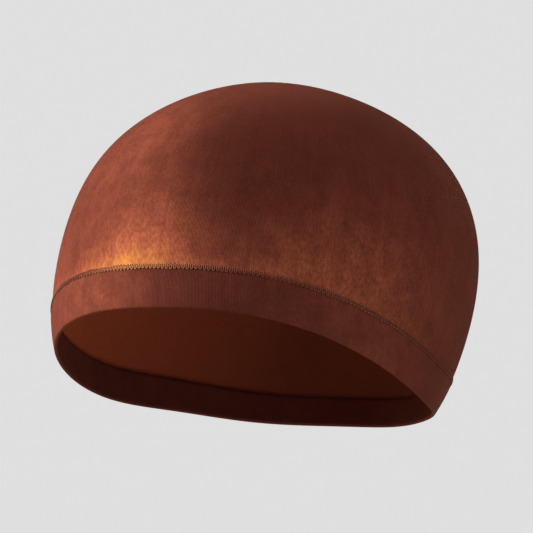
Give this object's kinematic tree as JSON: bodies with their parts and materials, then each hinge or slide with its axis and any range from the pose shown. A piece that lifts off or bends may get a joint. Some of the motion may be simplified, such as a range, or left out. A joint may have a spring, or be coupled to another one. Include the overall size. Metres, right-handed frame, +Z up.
{
  "type": "stocking wig cap",
  "caption": "Sheer knitted stocking cap in the form a head gives it, with a doubled welt round its opening and a flat closing seam behind the vertex; worn under a wig",
  "frame": {"origin": "the inside of the crown at the vertex, where a head carries the cap", "axes": "+Z is up out of the head's vertex, -Y is towards the brow, +Y towards the nape, +X towards the wearer's left"},
  "size_m": [0.1552, 0.1866, 0.1447],
  "materials": {
    "crown_knit": "sheer fine-gauge stretch knit, soft sheen",
    "welt_knit": "doubled knitted welt, denser and duller than the crown",
    "seam_thread": "overlocked sewing thread"
  },
  "bodies": {
    "root": {"crown": "crown_knit", "hem_band": "welt_knit", "crown_seam": "seam_thread"}
  },
  "joints": []
}
